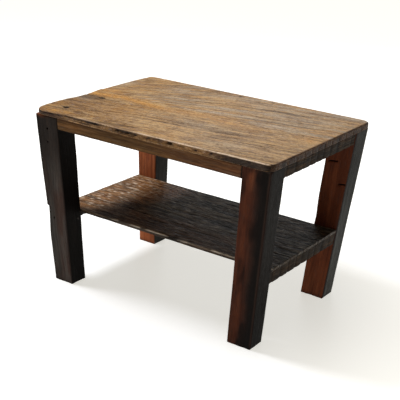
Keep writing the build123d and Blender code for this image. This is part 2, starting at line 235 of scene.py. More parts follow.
class Timber:
    """The closed surface of one block of wood, shaped point by point.

    at holds each point's place on the plain block, from 0 to size. place is where the point has
    been moved to, and out is the outward direction there. masks and grain are for the material.
    """

    # light carries painted highlights; dark carries the wood's own dark colours and, in places,
    # painted shade
    MASKS = ("groove", "dark", "light", "red", "warm", "grey", "gloss")

    def __init__(self, size, steps, arris, extra=((), (), ())):
        lines = [grid_lines(s, d, arris, e) for s, d, e in zip(size, steps, extra)]
        counts = [len(line) for line in lines]
        index = np.indices(counts)
        last = np.array(counts).reshape(3, 1, 1, 1) - 1
        outside = ((index == 0) | (index == last)).any(axis=0)
        number = np.full(counts, -1)
        number[outside] = np.arange(outside.sum())
        self.size = np.array(size, float)
        self.at = np.stack([lines[a][index[a][outside]] for a in range(3)], axis=1)
        self.faces = self._faces(number)
        self.masks = {name: np.zeros(len(self.at)) for name in self.MASKS}
        self.round_arrises(np.full(len(self.at), float(arris)))

    @staticmethod
    def _faces(number):
        faces = []
        for axis in range(3):
            for end in (0, -1):
                sheet = np.take(number, end, axis=axis)
                corners = [sheet[:-1, :-1], sheet[1:, :-1], sheet[1:, 1:], sheet[:-1, 1:]]
                quads = np.stack(corners, axis=-1).reshape(-1, 4)
                turned = (end == 0) != (axis == 1)
                faces.append(quads[:, ::-1] if turned else quads)
        return np.concatenate(faces)

    def round_arrises(self, arris):
        """Rounds every arris by its own radius, and works out the outward directions."""
        arris = arris[:, None]
        inner = np.clip(self.at, arris, self.size - arris)
        away = self.at - inner
        reach = np.linalg.norm(away, axis=1, keepdims=True)
        self.out = away / np.maximum(reach, 1e-9)
        self.place = inner + self.out * arris

    def push(self, depth):
        """Moves each point inwards by its own depth."""
        self.place = self.place - self.out * np.asarray(depth).reshape(-1, 1)

    def mark(self, name, value):
        """Raises a mask to at least this value."""
        self.masks[name] = np.clip(np.maximum(self.masks[name], value), 0.0, 1.0)

    def lay_grain(self, along, across, depth):
        """Sets where each point lies in the grain."""
        depth = np.broadcast_to(depth, np.shape(along))
        self.grain = np.stack([along, across, depth], axis=1) * MM

    def facing(self, axis, sign):
        """How squarely each point faces one way, from 0 to 1."""
        return np.clip(sign * self.out[:, axis], 0.0, 1.0) ** 2

    def piece(self, node, material, slot):
        """Makes the Blender object that stands for a CAD node, kept within the CAD model's box."""
        mesh = bpy.data.meshes.new(node + "_timber")
        mesh.vertices.add(len(self.place))
        co = np.clip(self.place * MM, CAD_BOX[0], CAD_BOX[1])
        mesh.vertices.foreach_set("co", co.astype(np.float32).ravel())
        mesh.loops.add(self.faces.size)
        mesh.loops.foreach_set("vertex_index", self.faces.ravel().astype(np.int32))
        mesh.polygons.add(len(self.faces))
        mesh.polygons.foreach_set("loop_start", np.arange(0, self.faces.size, 4, dtype=np.int32))
        mesh.update(calc_edges=True)
        mesh.validate()
        mesh.polygons.foreach_set("use_smooth", np.ones(len(mesh.polygons), bool))
        for name, values in self.masks.items():
            layer = mesh.attributes.new(name, "FLOAT", "POINT")
            layer.data.foreach_set("value", values.astype(np.float32))
        layer = mesh.attributes.new("grain", "FLOAT_VECTOR", "POINT")
        layer.data.foreach_set("vector", self.grain.astype(np.float32).ravel())
        mesh.materials.append(material)
        made = add_object(node + "_timber", mesh)
        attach(made, "root")
        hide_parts(node)


def weathering(timber, along, across, seed, depth, fine, coarse, run):
    """Wears the softer wood away between the growth rings, in long grooves along the grain."""
    wide = rough(along / (run * 1.8), across / coarse, seed, 2)
    narrow = noise(along / run, across / fine, seed + 20)
    pores = noise(along / (run * 0.35), across / (fine * 0.62), seed + 30)
    patchy = 0.65 + 0.35 * noise(along / 130.0, across / 60.0, seed + 40)
    groove = ramp(wide, 0.05, 0.65) * 0.55 + ramp(narrow, 0.1, 0.85) * 0.6
    groove = np.clip((groove + ramp(pores, 0.3, 0.95) * 0.3) * patchy, 0, 1)
    timber.push(depth * groove)
    timber.mark("groove", groove)


# ---- materials
def linear(red, green, blue):
    """A screen colour in 0..255 as a linear colour with alpha."""
    def channel(value):
        value = value / 255.0
        return value / 12.92 if value <= 0.04045 else ((value + 0.055) / 1.055) ** 2.4
    return (channel(red), channel(green), channel(blue), 1.0)


class Nodes:
    """Short ways to add shader nodes."""

    def __init__(self, material):
        material.use_nodes = True
        self.tree = material.node_tree
        self.shader = self.tree.nodes["Principled BSDF"]

    def new(self, kind):
        return self.tree.nodes.new("ShaderNode" + kind)

    def set(self, name, value):
        self.shader.inputs[name].default_value = value

    def link(self, source, target):
        self.tree.links.new(source, target)

    def mask(self, name):
        node = self.new("Attribute")
        node.attribute_name = name
        return node.outputs["Fac"]

    def stretched(self, scale):
        """The grain coordinates, stretched: along, across and depth per metre."""
        source = self.new("Attribute")
        source.attribute_name = "grain"
        node = self.new("Mapping")
        node.inputs["Scale"].default_value = scale
        self.link(source.outputs["Vector"], node.inputs["Vector"])
        return node.outputs["Vector"]

    def noise(self, scale, detail, distortion=0.0):
        node = self.new("TexNoise")
        node.inputs["Scale"].default_value = 1.0
        node.inputs["Detail"].default_value = detail
        node.inputs["Roughness"].default_value = 0.6
        node.inputs["Distortion"].default_value = distortion
        self.link(self.stretched(scale), node.inputs["Vector"])
        return node.outputs["Fac"]

    def range(self, value, low, high, to_low=0.0, to_high=1.0):
        node = self.new("MapRange")
        node.interpolation_type = "SMOOTHSTEP"
        ends = {"From Min": low, "From Max": high, "To Min": to_low, "To Max": to_high}
        for name, number in ends.items():
            node.inputs[name].default_value = number
        self.link(value, node.inputs["Value"])
        return node.outputs["Result"]

    def math(self, operation, a, b):
        node = self.new("Math")
        node.operation = operation
        node.use_clamp = True
        for socket, value in zip(node.inputs, (a, b)):
            if isinstance(value, float):
                socket.default_value = value
            else:
                self.link(value, socket)
        return node.outputs[0]

    def mix(self, factor, a, b):
        node = self.new("Mix")
        node.data_type = "RGBA"
        self.link(factor, node.inputs[0])
        for socket, value in ((node.inputs[6], a), (node.inputs[7], b)):
            if isinstance(value, tuple):
                socket.default_value = value
            else:
                self.link(value, socket)
        return node.outputs[2]

    def bump(self, height, strength, distance):
        node = self.new("Bump")
        node.inputs["Strength"].default_value = strength
        node.inputs["Distance"].default_value = distance
        self.link(height, node.inputs["Height"])
        self.link(node.outputs["Normal"], self.shader.inputs["Normal"])


BUMP_DISTANCE = 0.004  # metres


def timber_material(kind, contrast, roughness, specular, relief, run, wide=1.0):
    """Old wood: streaks along the grain, dark grooves, patches set by the timber's masks, and
    painted highlights.

    run and wide make the streaks longer and wider. The noise scales are per metre: along the
    grain, across it, and in depth.
    """
    palette = palette_of(kind)
    material = bpy.data.materials.new(kind + "_wood")
    nodes = Nodes(material)
    streak = nodes.noise((20.0 / run, 250.0 / wide, 250.0 / wide), 4.0, 0.5)
    fibre = nodes.noise((80.0 / run, 430.0 / wide, 430.0 / wide), 3.0, 0.6)
    fine = nodes.noise((160.0 / run, 1000.0 / wide, 1000.0 / wide), 2.0)
    blotch = nodes.noise((18.0 / run, 55.0, 55.0), 3.0, 0.8)
    tint = nodes.noise((34.0 / run, 150.0, 150.0), 2.0, 0.4)
    flow = nodes.noise((6.0 / run, 85.0, 85.0), 2.0, 0.3)
    halves = [nodes.math("MULTIPLY", part, 0.5) for part in (streak, flow)]
    streak = nodes.math("ADD", *halves)

    spread = 0.16 / contrast
    banding = nodes.range(streak, 0.5 - spread, 0.5 + spread)
    colour = nodes.mix(banding, palette["deep"], palette["pale"])
    colour = nodes.mix(nodes.range(blotch, 0.42, 0.68, 0.0, 0.5), colour, palette["mid"])
    gaps = nodes.range(blotch, 0.3, 0.6, palette["patchy"], 1.0)
    for key in ("red", "warm", "grey"):
        broken = nodes.math("MULTIPLY", nodes.mask(key), gaps)
        shade = nodes.mix(nodes.range(streak, 0.36, 0.64), palette[key + "_deep"], palette[key])
        colour = nodes.mix(broken, colour, shade)
    tints, fibres = palette["tint_share"], palette["fibre_share"]
    # each layer: its noise, where it starts and is full, how much it covers, and its colour
    layers = (
        (tint, 0.55, 0.72, tints, "ochre"),
        (tint, 0.45, 0.28, tints, "ash"),
        (fibre, 0.53, 0.70, fibres, "fleck"),
        # pale fibres, and painted highlights: the glints that raised ridges catch
        (fibre, 0.44, 0.30, fibres * 0.6, "bright"),
        (fine, 0.56, 0.72, fibres * 0.7, "fleck"),
    )
    for pattern, start, full, share, key in layers:
        colour = nodes.mix(nodes.range(pattern, start, full, 0.0, share), colour, palette[key])

    # painted highlight: where the light mask is set, the pale highlight colour is laid over the wood
    light = nodes.math("MULTIPLY", nodes.mask("light"), nodes.range(fibre, 0.70, 0.45, 0.35, 1.0))
    colour = nodes.mix(light, colour, palette["light"])
    groove = nodes.range(nodes.mask("groove"), 0.15, 0.95, 0.0, palette["groove_share"])
    colour = nodes.mix(groove, colour, palette["groove"])
    colour = nodes.mix(nodes.mask("dark"), colour, palette["dark"])
    nodes.link(colour, nodes.shader.inputs["Base Color"])

    matt = nodes.range(fibre, 0.3, 0.7, roughness[0], roughness[1])
    gloss = nodes.math("MULTIPLY", nodes.mask("gloss"), 0.3)
    nodes.link(nodes.math("SUBTRACT", matt, gloss), nodes.shader.inputs["Roughness"])
    nodes.set("Specular IOR Level", specular)
    swell = nodes.math("MULTIPLY", streak, 0.45)
    coarse = nodes.math("ADD", swell, nodes.math("MULTIPLY", fibre, 0.4))
    height = nodes.math("SUBTRACT", coarse, nodes.math("MULTIPLY", fine, 0.15))
    nodes.bump(height, relief, BUMP_DISTANCE)
    return material


# screen colours, and how much some layers cover, for the four kinds of timber in turn
KINDS = ("top", "post", "rail", "shelf")
COLOURS = {
    "deep": ((126, 92, 54), (38, 31, 27), (58, 38, 19), (13, 14, 12)),
    "pale": ((200, 164, 116), (68, 58, 52), (102, 73, 42), (90, 87, 76)),
    "mid": ((168, 133, 90), (50, 42, 38), (80, 55, 30), (40, 39, 34)),
    "warm": ((216, 160, 82), (196, 116, 72), (150, 98, 50), (176, 128, 84)),
    "warm_deep": ((188, 130, 62), (166, 90, 54), (112, 70, 36), (104, 68, 40)),
    "red": ((128, 78, 50), (104, 54, 33), (104, 60, 38), (88, 60, 36)),
    "red_deep": ((92, 54, 36), (86, 42, 26), (76, 44, 28), (48, 32, 19)),
    "grey": ((198, 182, 162), (88, 90, 87), (50, 44, 38), (84, 84, 80)),
    "grey_deep": ((152, 136, 118), (64, 66, 63), (34, 30, 25), (60, 60, 57)),
    "ochre": ((196, 142, 74), (82, 58, 42), (120, 86, 50), (88, 68, 48)),
    "ash": ((160, 136, 124), (62, 60, 60), (84, 74, 64), (60, 58, 52)),
    # the light row is the colour of painted highlights
    "light": ((250, 226, 200), (150, 128, 108), (170, 138, 104), (240, 225, 205)),
    "bright": ((230, 198, 152), (88, 72, 62), (140, 112, 82), (160, 150, 128)),
    "fleck": ((74, 48, 28), (26, 20, 17), (48, 32, 20), (14, 11, 8)),
    "groove": ((84, 58, 34), (20, 15, 12), (38, 26, 17), (16, 13, 10)),
    "dark": ((24, 16, 10), (10, 8, 7), (13, 10, 8), (11, 9, 7)),
}
SHARES = {
    "patchy": (0.5, 0.9, 0.55, 0.5),
    "tint_share": (0.7, 0.22, 0.35, 0.3),
    "fibre_share": (0.72, 0.2, 0.4, 0.6),
    "groove_share": (0.62, 0.32, 0.55, 0.8),
}


def palette_of(kind):
    """The linear colours and the shares of one kind of timber."""
    column = KINDS.index(kind)
    chosen = {key: linear(*row[column]) for key, row in COLOURS.items()}
    chosen.update({key: row[column] for key, row in SHARES.items()})
    return chosen


# ---- the table top
def frame_box(*names):
    """The lowest and highest corners of some CAD nodes together, in millimetres."""
    lows, highs = zip(*(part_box(name) for name in names))
    low = np.min([list(corner) for corner in lows], axis=0)
    high = np.max([list(corner) for corner in highs], axis=0)
    return low / MM, high / MM


TOP_LOW, TOP_HIGH = frame_box("top_board_front", "top_board_back")
FRONT_LOW, FRONT_HIGH = frame_box("top_board_front")
TOP_LENGTH = TOP_HIGH[0] - TOP_LOW[0]
TOP_THICK = TOP_HIGH[2] - TOP_LOW[2]
FRONT_WIDTH = FRONT_HIGH[1] - FRONT_LOW[1]
BACK_WIDTH_LEFT = 243.0  # the back board is narrower at its left end
BACK_WIDTH_RIGHT = TOP_HIGH[1] - FRONT_HIGH[1]
SEAM_GAP = 0.5
FRONT_RADII = (27.0, 24.0)  # of the plan's corners, left and right
BACK_RADII = (12.0, 24.0)
LEAN_LOW = 2.0  # how far the front edge is worn back towards the right, at the bottom
LEAN_HIGH = 7.0  # and at the top


def round_corner(u, v, at_u, at_v, radius):
    """Pulls the points near one corner of a plan in on to an arc."""
    du = radius - np.abs(u - at_u)
    dv = radius - np.abs(v - at_v)
    near = (du > 0) & (dv > 0)
    reach = np.maximum(np.hypot(du, dv), 1e-9)
    scale = np.where(near, np.maximum(du, dv) / reach, 1.0)
    inward_u, inward_v = (1 if at_u < 1 else -1), (1 if at_v < 1 else -1)
    new_u = np.where(near, at_u + inward_u * (radius - du * scale), u)
    new_v = np.where(near, at_v + inward_v * (radius - dv * scale), v)
    return new_u, new_v


def left_inset(v):
    """The left end isn't straight: it is worn in by the split, and again at the back."""
    return 5.3 * ramp(v, 125, 155) * ramp(v, 258, 214) + 3.5 * ramp(v, 430, 505)


# holes and splits, from the left end and from the front edge of the top
BOLT_HOLE = (63.5, 57.0)
KNOT_HOLE = (64.5, 205.0)
SPLIT_AT = 206.0
# holes in the front edge: from the left end, below the top face, half length and height, depth
EDGE_HOLES = (
    (287.0, 9.0, 8.5, 3.0, 5.0),
    (303.0, 10.0, 5.0, 2.2, 4.0),
    (319.0, 9.5, 8.0, 2.8, 5.0),
    (343.0, 10.5, 6.0, 2.2, 3.5),
    (453.0, 8.0, 11.0, 3.8, 6.5),
    (531.0, 9.0, 5.0, 3.0, 3.0),
    (576.0, 8.0, 5.0, 3.4, 3.5),
)


def top_front_grain(u, v):
    """How far across the grain a point of the front board lies: the rings climb to the right."""
    return v - 0.17 * u - 9.0 * noise(u / 150.0, v / 90.0, 71)


def top_back_grain(u, v):
    """The back board's rings climb steeply at the left and flatten to the right."""
    climb = 290.0 * (1.0 - np.exp(-u / 350.0))
    return v - climb - 8.0 * noise(u / 120.0, v / 90.0, 72)


def top_face(timber, u, v, grain, seed, depth):
    """Grain, growth rings and a gentle unevenness on the upper face of a top board."""
    upper = timber.facing(2, 1)
    weathering(timber, u, grain, seed, depth * (0.25 + 0.75 * upper), 3.0, 11.0, 36.0)
    rings = noise(u / 260.0, grain / 17.0, seed + 50)
    line = ramp(rings, 0.42, 0.86) * upper
    timber.push(0.7 * line)
    timber.mark("groove", line * 0.8)
    timber.push((0.4 * rough(u / 170.0, v / 80.0, seed + 60) + 0.3) * upper)


def growth_lines(timber, u, grain, lines):
    """Open growth rings, each given by its place across the grain, its two ends and its depth."""
    upper = timber.facing(2, 1)
    for across, start, end, deep in lines:
        drift = across + 2.5 * noise(u / 45.0, 0, int(start))
        fade = ramp(u, start, start + 40) * ramp(u, end, end - 40)
        line = np.exp(-(((grain - drift) / 2.7) ** 2)) * fade * upper
        line = line * (0.75 + 0.25 * noise(u / 12.0, 1, int(end)))
        timber.push(deep * line)
        timber.mark("dark", 0.66 * line)


# growth rings: across the grain, from, to, depth
FRONT_RINGS = (
    (60.0, 240.0, 570.0, 1.4),
    (8.0, 420.0, 748.0, 1.3),
    (-62.0, 560.0, 748.0, 1.2),
    (66.0, 110.0, 230.0, 0.9),
    (98.0, 330.0, 520.0, 0.9),
    (-22.0, 200.0, 420.0, 0.8),
    (36.0, 520.0, 700.0, 1.0),
)
BACK_RINGS = (
    (-64.0, 140.0, 450.0, 1.4),
    (-96.0, 380.0, 520.0, 1.2),
    (-60.0, 480.0, 690.0, 1.4),
    (22.0, 60.0, 200.0, 1.2),
    (4.0, 380.0, 480.0, 1.1),
    (-20.0, 560.0, 740.0, 1.1),
    (-140.0, 470.0, 740.0, 1.0),
    (-24.0, 190.0, 330.0, 0.8),
)


# stains on the upper faces, and on the back board a grey patch that is partly painted sheen: mask,
# strength, and then what spot is given
FRONT_STAINS = (
    ("warm", 0.9, (62, 17), (62, 13), 3),
    ("warm", 0.6, (22, 40), (16, 40), 3),
    ("red", 0.75, (40, 108), (30, 14), 5),
    ("red", 0.6, (92, 88), (30, 18), 6),
    ("red", 0.42, (90, 120), (110, 70), 4, 0.8),
    ("dark", 0.24, (60, 110), (80, 80), 19, 0.8),
    ("warm", 0.35, (175, 135), (42, 40), 7),
    ("grey", 0.75, (20, 175), (30, 26), 8),
    ("grey", 0.5, (430, 165), (120, 36), 9),
    ("grey", 0.45, (560, 75), (90, 40), 10),
    ("warm", 0.45, (420, 22), (120, 16), 11),
    ("warm", 0.85, (440, 243), (90, 10), 14),
    ("warm", 0.9, (708, 248), (34, 26), 14),
    ("dark", 0.45, (40, 200), (50, 10), 18),
)
BACK_STAINS_AND_SHEEN = (
    ("warm", 0.8, (34, 6), (40, 30), 35),
    ("warm", 0.55, (430, 4), (60, 12), 36),
    ("warm", 0.4, (560, 232), (70, 18), 37),
    ("warm", 0.35, (60, 222), (50, 16), 38),
    # grey weathering, and painted sheen of the glare at the back right
    ("grey", 0.5, (600, 128), (105, 46), 39),
    ("grey", 0.65, (470, 172), (60, 26), 40),
    ("grey", 0.6, (165, 165), (46, 30), 41),
    ("grey", 0.6, (10, 110), (22, 50), 42),
    ("red", 0.4, (290, 226), (90, 13), 43),
    ("red", 0.3, (70, 150), (60, 14), 44),
)


def mark_patches(timber, u, v, rows):
    upper = timber.facing(2, 1)
    for mask, strength, *patch in rows:
        timber.mark(mask, strength * spot(u, v, *patch) * upper)


def make_top_front(material):
    holes_u = [BOLT_HOLE[0] + d for d in (-7, -5, -3, -1, 1, 3, 5, 7)]
    holes_u += [KNOT_HOLE[0] + d for d in (-9, -6.5, 6.5, 9)]
    lines_v = [BOLT_HOLE[1] + d for d in (-4.6, -3.2, -1.6, 0, 1.6, 3.2, 4.6)]
    lines_v += [SPLIT_AT + d for d in (-5, -3.4, -2, -1.1, -0.4, 0.4, 1.1, 2, 3.4)]
    size = (TOP_LENGTH, FRONT_WIDTH - SEAM_GAP / 2, TOP_THICK)
    timber = Timber(size, (4.0, 1.9, 1.9), 2.6, (holes_u, lines_v, ()))
    u, v, w = timber.at.T
    arris = 1.6 + 1.5 * ramp(v, 30, 0) * (0.6 + 0.4 * noise(u / 40.0, 0, 3)) * ramp(w, 6, 14)
    arris = arris + 2.0 * ramp(np.minimum(u, TOP_LENGTH - u), 20, 0) * ramp(w, 6, 14)
    arris = np.where(v > FRONT_WIDTH - 12, 0.8, arris)
    timber.round_arrises(np.minimum(arris, 7.5))
    u, v, w = timber.place.T
    u, v = round_corner(u, v, 0.0, 0.0, FRONT_RADII[0])
    u, v = round_corner(u, v, TOP_LENGTH, 0.0, FRONT_RADII[1])
    u = u + left_inset(v) * ramp(u, 70, 0)
    set_back = LEAN_LOW + (LEAN_HIGH - LEAN_LOW) * ramp(w, 2, TOP_THICK)
    v = v + set_back * ramp(u, 380, 700) * ramp(v, 60, 0)
    timber.place = np.stack([u, v, w], axis=1)
    grain = top_front_grain(u, v)
    timber.lay_grain(u, grain, w)
    top_face(timber, u, v, grain, 11, 1.1)
    growth_lines(timber, u, grain, FRONT_RINGS)
    front_edge(timber, u, w)
    top_ends(timber, v, v, 13)
    upper = timber.facing(2, 1)

    # the worn corner at the front left, lower and redder than the rest
    corner = np.exp(-(((u - 30.0) / 60.0) ** 2 + (v / 32.0) ** 2))
    timber.place[:, 2] -= 4.0 * corner * (w / TOP_THICK)
    timber.mark("red", 0.9 * spot(u, v, (8, 4), (20, 13), 4))

    mark_patches(timber, u, v, FRONT_STAINS)
    # painted sheen: the upper face grows paler towards the right end
    timber.mark("light", 0.09 * ramp(u, 150, 500) * upper)
    timber.mark("dark", 0.27 * ramp(u, 240, 60) * ramp(v, 232, 200) * upper)

    # ochre along the seam, strongest at the left end
    run = 236.0 + 22.0 * noise(u / 130.0, 0, 12)
    band = np.exp(-(((v - run) / (24.0 + 8.0 * noise(u / 60.0, 1, 13))) ** 2))
    strength = ramp(u, 300, 180) + 0.6 * ramp(u, 600, 480)
    timber.mark("warm", band * np.clip(strength, 0, 1) * upper)
    golden = ramp(noise(u / 110.0, grain / 12.0, 56), 0.1, 0.7)
    timber.mark("warm", 0.34 * golden * upper)

    # the split from the left end to the knot hole, and the old bolt hole
    line = SPLIT_AT + 1.5 * noise(u / 16.0, 0, 15)
    split = np.exp(-(((v - line) / 2.0) ** 2)) * ramp(u, KNOT_HOLE[0] + 16, KNOT_HOLE[0] - 6) * upper
    knot = spot(u, v, KNOT_HOLE, (10.0, 4.4), 16, 0.3) * upper
    rim = np.hypot((u - BOLT_HOLE[0]) / 7.0, (v - BOLT_HOLE[1]) / 4.8)
    bolt = ramp(rim, 1.1, 0.9) * upper
    timber.push(3.0 * split + 6.0 * knot + 10.0 * bolt)
    timber.mark("dark", ramp(rim, 1.75, 1.35) * upper)
    timber.mark("dark", np.maximum(0.9 * ramp(split, 0.08, 0.4), ramp(knot, 0.06, 0.25)))
    # painted highlight along the front arris
    timber.mark("light", painted_arris_highlight(u, timber.at[:, 1], w))
    timber.place += [TOP_LOW[0], FRONT_LOW[1], TOP_LOW[2]]
    timber.piece("top_board_front", material, "top_timber")


def painted_arris_highlight(u, v, w):
    """Painted highlight along the front arris: pale, most of all to the right."""
    near = np.exp(-(((v - 1.3) / 2.4) ** 2)) * ramp(w, TOP_THICK - 3.4, TOP_THICK - 1.4)
    along = 0.35 * ramp(u, 90, 200) + 0.65 * ramp(u, 300, 480)
    patchy = 0.85 + 0.15 * noise(u / 14.0, 0, 17)
    return 1.2 * near * along * patchy * ramp(u, TOP_LENGTH - 4, TOP_LENGTH - 24)


def front_edge(timber, u, w):
    """The edge of the tree: undercut and worm-eaten below its arris, with a lip beneath."""
    front = timber.facing(1, -1)
    below = TOP_THICK - w
    joint = 11.5 + 5.5 * ramp(u, 40, 560)
    start = 2.3 + 0.6 * noise(u / 26.0, 0, 20)
    under = ramp(below, start, start + 1.3) * ramp(below, joint - 1.5, joint - 5.0)
    under = under * (0.62 + 0.38 * rough(u / 30.0, w / 9.0, 21)) * (1.0 - 0.45 * ramp(u, 380, 560))
    eaten = ramp(rough(u / 15.0, w / 4.2, 22), 0.12, 0.5) * under
    timber.push(front * (2.4 * under + 2.2 * eaten + 0.4 + 0.4 * rough(u / 18.0, w / 5.0, 26)))
    timber.mark("red", front * np.clip(0.55 + 0.45 * under, 0, 0.95))
    timber.mark("dark", front * (0.42 + 0.25 * noise(u / 22.0, w / 6.0, 28)) * ramp(below, 1.4, 2.6))
    # painted shade: the undercut and worm holes under the overhanging arris are darkened, most at
    # the left
    undercut_shade = 0.9 - 0.42 * ramp(u, 300, 400)
    timber.mark("dark", front * np.clip(1.4 * undercut_shade * under + 0.75 * eaten, 0, 0.96))
    timber.mark("warm", front * 0.3 * ramp(u, 180, 260) * ramp(u, 640, 520))
    rusty = ramp(u, 150, 60) * ramp(below, 3.0, 4.5)
    timber.mark("red", front * rusty)
    timber.mark("dark", front * 0.84 * rusty)
    corner = ramp(u, 500, 640) * ramp(below, 2.2, 3.6)
    timber.mark("red", front * 0.9 * corner)
    timber.mark("dark", front * corner * (0.94 + 0.05 * noise(u / 9.0, w / 5.0, 27)))
    for along, down, half, high, deep in EDGE_HOLES:
        hole = ramp(spot(u, below, (along, down), (half, high), int(along), 0.6), 0.3, 0.7)
        timber.push(front * deep * hole)
        # painted shade in the holes
        timber.mark("dark", front * 0.95 * hole)
    seam = np.exp(-(((below - joint) / 0.9) ** 2)) * ramp(u, 585, 520)
    timber.push(front * 1.6 * seam)
    timber.mark("dark", front * 0.9 * seam)
    fibres = ramp(noise(u / 38.0, w / 2.3, 23), 0.0, 0.9)
    timber.push(front * 0.5 * fibres)
    timber.mark("groove", front * fibres * 0.8)


# dark splits down the ends of the table, measured from its front
END_SPLITS = (31.0, 78.0, 122.0, 161.0, 200.0, 232.0, 265.0, 302.0, 340.0, 381.0, 420.0, 468.0)


def end_splits(across, seed):
    """Near 1 along each split in an end, fading quickly to each side."""
    value = np.zeros(len(across))
    for number, where in enumerate(END_SPLITS):
        wide = 2.6 + 1.5 * (number % 3)
        strength = 0.91 + 0.03 * (number % 4)
        value = np.maximum(value, strength * np.exp(-(((across - where) / wide) ** 2)))
    return value * (0.95 + 0.05 * noise(across / 3.0, 0, seed))


def top_ends(timber, v, from_front, seed):
    """End grain: dark and split, under a rubbed brown arris."""
    below = TOP_THICK - timber.at[:, 2]
    for sign in (-1, 1):
        end = timber.facing(0, sign)
        splits = end_splits(from_front + 1.5 * noise(below / 6.0, 0, seed), seed) * ramp(below, 3, 5)
        fine = ramp(noise(v / 5.0, below / 30.0, seed + sign), 0.3, 0.9) * ramp(below, 4, 8)
        timber.push(end * (1.8 * splits + 0.5 * fine + 0.4 * rough(v / 6.0, below / 5.0, seed + 3)))
        timber.mark("grey", end * 0.6 * ramp(below, 3.0, 6.0))
        timber.mark("red", end * 0.8 * ramp(below, 6.0, 2.5))
        shade = 0.84 + 0.14 * noise(from_front / 20.0, 0, 90)
        timber.mark("dark", end * np.maximum(shade * ramp(below, 2.5, 5.0), 0.97 * splits))
        timber.mark("dark", end * 0.72 * ramp(below, 1.0, 3.0))
    rim = ramp(TOP_LENGTH - timber.at[:, 0], 4.5, 1.5)
    timber.masks["grey"] *= 1.0 - rim
    timber.mark("red", rim)
    timber.mark("dark", (0.68 + 0.14 * noise(from_front / 18.0, 0, 94)) * rim)


def make_top_back(material):
    size = (TOP_LENGTH, BACK_WIDTH_RIGHT, TOP_THICK)
    timber = Timber(size, (4.0, 1.9, 2.1), 2.2)
    u, v, w = timber.at.T
    arris = 2.0 + 2.0 * ramp(np.minimum(u, TOP_LENGTH - u), 20, 0) * ramp(w, 6, 14)
    arris = arris + 1.8 * ramp(v, BACK_WIDTH_RIGHT - 16, BACK_WIDTH_RIGHT) * ramp(w, 6, 14)
    arris = np.where(v < 12, 0.8, arris)
    timber.round_arrises(arris)
    u, v, w = timber.place.T
    u, v = round_corner(u, v, 0.0, BACK_WIDTH_RIGHT, BACK_RADII[0])
    u, v = round_corner(u, v, TOP_LENGTH, BACK_WIDTH_RIGHT, BACK_RADII[1])
    width = BACK_WIDTH_LEFT + (BACK_WIDTH_RIGHT - BACK_WIDTH_LEFT) * u / TOP_LENGTH
    v = SEAM_GAP / 2 + v * (width - SEAM_GAP / 2) / BACK_WIDTH_RIGHT
    u = u + left_inset(v + FRONT_WIDTH) * ramp(u, 70, 0)
    timber.place = np.stack([u, v, w], axis=1)
    grain = top_back_grain(u, v)
    timber.lay_grain(u, grain + 600.0, w)
    top_face(timber, u, v, grain, 31, 1.1)
    top_ends(timber, v, v + FRONT_WIDTH, 33)
    upper = timber.facing(2, 1)
    back = timber.facing(1, 1)
    timber.push(back * (0.9 + 0.9 * rough(u / 40.0, w / 8.0, 34)))
    timber.mark("red", back * 0.5)
    mark_patches(timber, u, v, BACK_STAINS_AND_SHEEN)
    # painted sheen: the upper face grows paler towards the right end
    timber.mark("light", 0.09 * ramp(u, 150, 450) * upper)
    faded = ramp(noise(u / 190.0, grain / 11.0, 57), -0.25, 0.35)
    timber.mark("grey", 0.72 * faded * ramp(u, 40, 240) * upper)
    timber.mark("warm", 0.5 * (1 - faded) * ramp(noise(u / 90.0, grain / 9.0, 58), 0.0, 0.6) * upper)
    growth_lines(timber, u, grain, BACK_RINGS)
    for along, across, wide in ((342.0, 232.0, 6.0), (450.0, 237.0, 4.0)):
        nick = spot(u, v, (along, across), (wide, 5.0), int(along), 0.3) * upper
        timber.push(3.0 * nick)
        timber.mark("dark", 0.9 * ramp(nick, 0.2, 0.6))
    timber.place += [TOP_LOW[0], FRONT_HIGH[1], TOP_LOW[2]]
    timber.piece("top_board_back", material, "top_timber")


# ---- the posts
RAKE = (45.0, 37.0)  # how far a foot comes in, along and across
HEAD = (78.0, 71.0)  # a post's thickness at the height of the top, along and across
FOOT_ALONG = {-1: 60.0, 1: 70.0}  # and at the floor, for the left and right posts
FOOT_ACROSS = 58.0
POST_GRAIN_STEP = 31.0  # how far apart in the grain two posts lie, for each seed between them
RAKE_HEIGHT = TOP_HIGH[2]
POST_LOW, POST_HIGH = frame_box("leg_front_left", "leg_back_right")
POST_HEIGHT = POST_HIGH[2]
FRAME_MIDDLE = (POST_LOW + POST_HIGH) / 2
HALF_ALONG = POST_HIGH[0] - FRAME_MIDDLE[0] + RAKE[0] * (1 - POST_HEIGHT / RAKE_HEIGHT)
HALF_ACROSS = POST_HIGH[1] - FRAME_MIDDLE[1] + RAKE[1] * (1 - POST_HEIGHT / RAKE_HEIGHT)


def outer(z):
    """Distances of the outer post faces from the middle of the frame, at a height."""
    rise = 1.0 - z / RAKE_HEIGHT
    return HALF_ALONG - RAKE[0] * rise, HALF_ACROSS - RAKE[1] * rise


def post_size(side_x, z):
    t = z / RAKE_HEIGHT
    foot = FOOT_ALONG[side_x]
    return foot + (HEAD[0] - foot) * t, FOOT_ACROSS + (HEAD[1] - FOOT_ACROSS) * t


def lean(timber, side_x, side_y):
    """Moves the points of an upright block on to the leaning, tapering post."""
    a, b, z = timber.place.T
    out_x, out_y = outer(z)
    wide, deep = post_size(side_x, z)
    low_x = np.where(side_x < 0, -out_x, out_x - wide)
    low_y = np.where(side_y < 0, -out_y, out_y - deep)
    x = FRAME_MIDDLE[0] + low_x + a / HEAD[0] * wide
    y = FRAME_MIDDLE[1] + low_y + b / HEAD[1] * deep
    timber.place = np.stack([x, y, z], axis=1)


